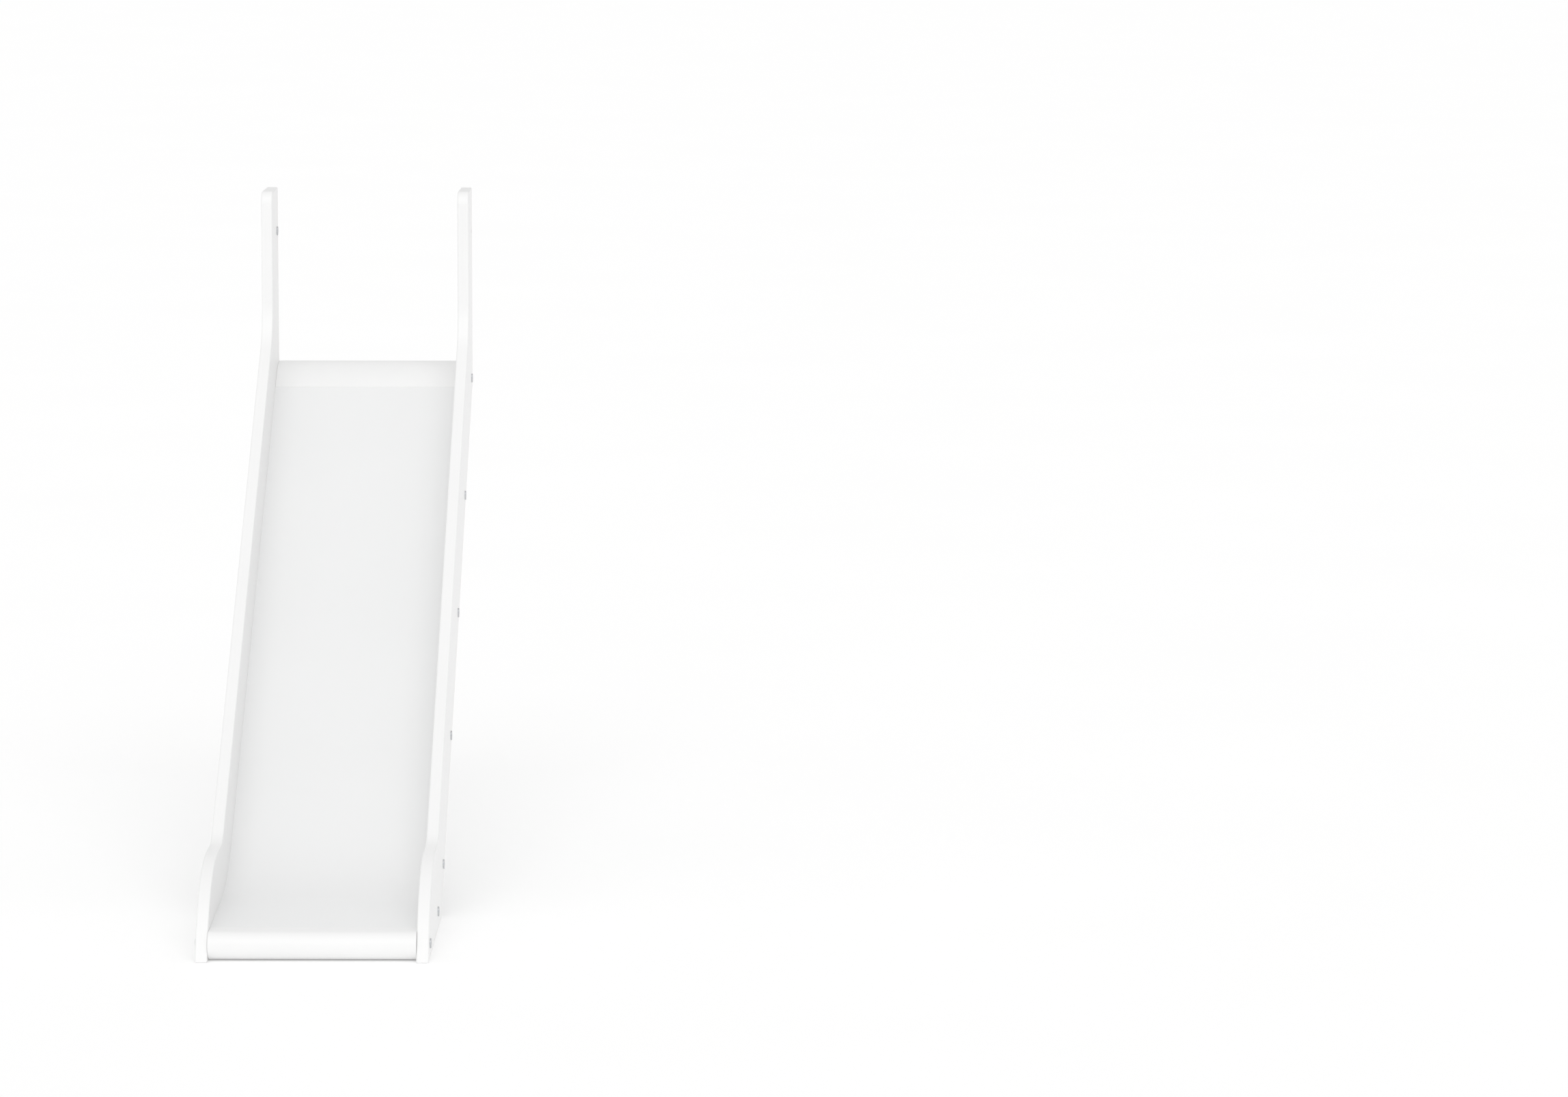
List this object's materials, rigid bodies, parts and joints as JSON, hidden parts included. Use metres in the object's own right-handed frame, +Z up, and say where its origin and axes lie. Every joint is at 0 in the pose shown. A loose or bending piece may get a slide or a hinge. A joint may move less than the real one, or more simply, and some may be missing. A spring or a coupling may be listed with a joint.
{
  "type": "straight slide",
  "caption": "Child's bed slide: board side panels with tall handles and rounded feet, a sliding sheet with a curved run-out set in grooves, cross battens and flat-headed connector bolts.",
  "frame": {"origin": "on the floor under the centre of the slide's bounding box", "axes": "+Z up, +Y up the slide towards the bed rail, +X to the right as seen from the foot"},
  "size_m": [0.398, 1.55, 1.195],
  "materials": {
    "white_lacquer": "satin white lacquer on board and solid wood",
    "sliding_sheet": "smooth white laminate on thin fibreboard",
    "zinc_steel": "bright zinc plating",
    "dowel_beech": "raw fluted beech"
  },
  "bodies": {
    "root": {"left_side_panel": "white_lacquer", "right_side_panel": "white_lacquer", "slide_sheet": "sliding_sheet", "top_beam": "white_lacquer", "batten_1": "white_lacquer", "batten_2": "white_lacquer", "batten_3": "white_lacquer", "batten_4": "white_lacquer", "foot_batten": "white_lacquer", "end_bar": "white_lacquer", "top_beam_bolts": "zinc_steel", "batten_1_bolts": "zinc_steel", "batten_2_bolts": "zinc_steel", "batten_3_bolts": "zinc_steel", "batten_4_bolts": "zinc_steel", "foot_batten_bolts": "zinc_steel", "end_bar_bolts": "zinc_steel", "top_beam_barrel_nuts": "zinc_steel", "batten_1_barrel_nuts": "zinc_steel", "batten_2_barrel_nuts": "zinc_steel", "batten_3_barrel_nuts": "zinc_steel", "batten_4_barrel_nuts": "zinc_steel", "foot_batten_barrel_nuts": "zinc_steel", "end_bar_barrel_nuts": "zinc_steel", "top_beam_dowels": "dowel_beech", "batten_1_dowels": "dowel_beech", "batten_2_dowels": "dowel_beech", "batten_3_dowels": "dowel_beech", "batten_4_dowels": "dowel_beech", "foot_batten_dowels": "dowel_beech", "end_bar_dowels": "dowel_beech", "left_handle_sleeve": "zinc_steel", "right_handle_sleeve": "zinc_steel", "rail_inserts": "zinc_steel"}
  },
  "joints": []
}
